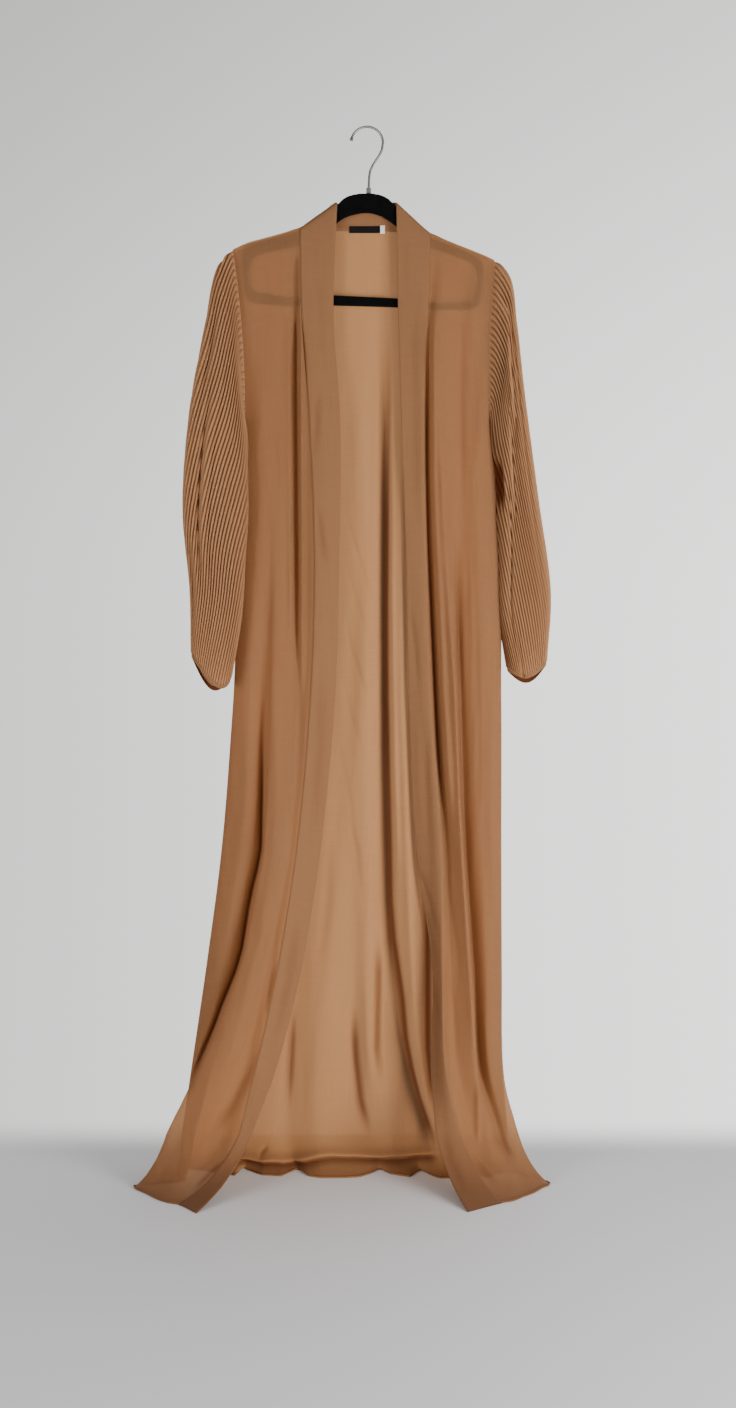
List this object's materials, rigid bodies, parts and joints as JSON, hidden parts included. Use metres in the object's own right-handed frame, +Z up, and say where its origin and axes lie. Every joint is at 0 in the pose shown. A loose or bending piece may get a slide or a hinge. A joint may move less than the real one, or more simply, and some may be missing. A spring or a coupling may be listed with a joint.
{
  "type": "abaya cloak on a hanger",
  "caption": "Open-front abaya cloak of sheer chiffon with a continuous front band and pleated sleeves, hanging on a slim flocked hanger with its hem on the floor.",
  "frame": {"origin": "inside top of the hanger's hook, where a rail or pin holds it", "axes": "+Z up; the cloak's open front faces -Y; +X to the right of a viewer in front"},
  "size_m": [0.6456, 0.2748, 1.6551],
  "materials": {
    "chiffon": "sheer camel chiffon, matt",
    "band_chiffon": "the same chiffon, doubled",
    "velvet": "black flock on moulded plastic",
    "chrome": "bright plated wire",
    "black_woven": "woven satin, bare",
    "white_woven": "woven tape, bare"
  },
  "bodies": {
    "root": {"back_panel": "chiffon", "front_left": "chiffon", "front_right": "chiffon", "band_left": "band_chiffon", "band_right": "band_chiffon", "sleeve_left": "chiffon", "sleeve_right": "chiffon", "cuff_left": "band_chiffon", "cuff_right": "band_chiffon", "neck_label": "black_woven", "size_tab": "white_woven", "hanger_body": "velvet", "hanger_hook": "chrome"}
  },
  "joints": []
}
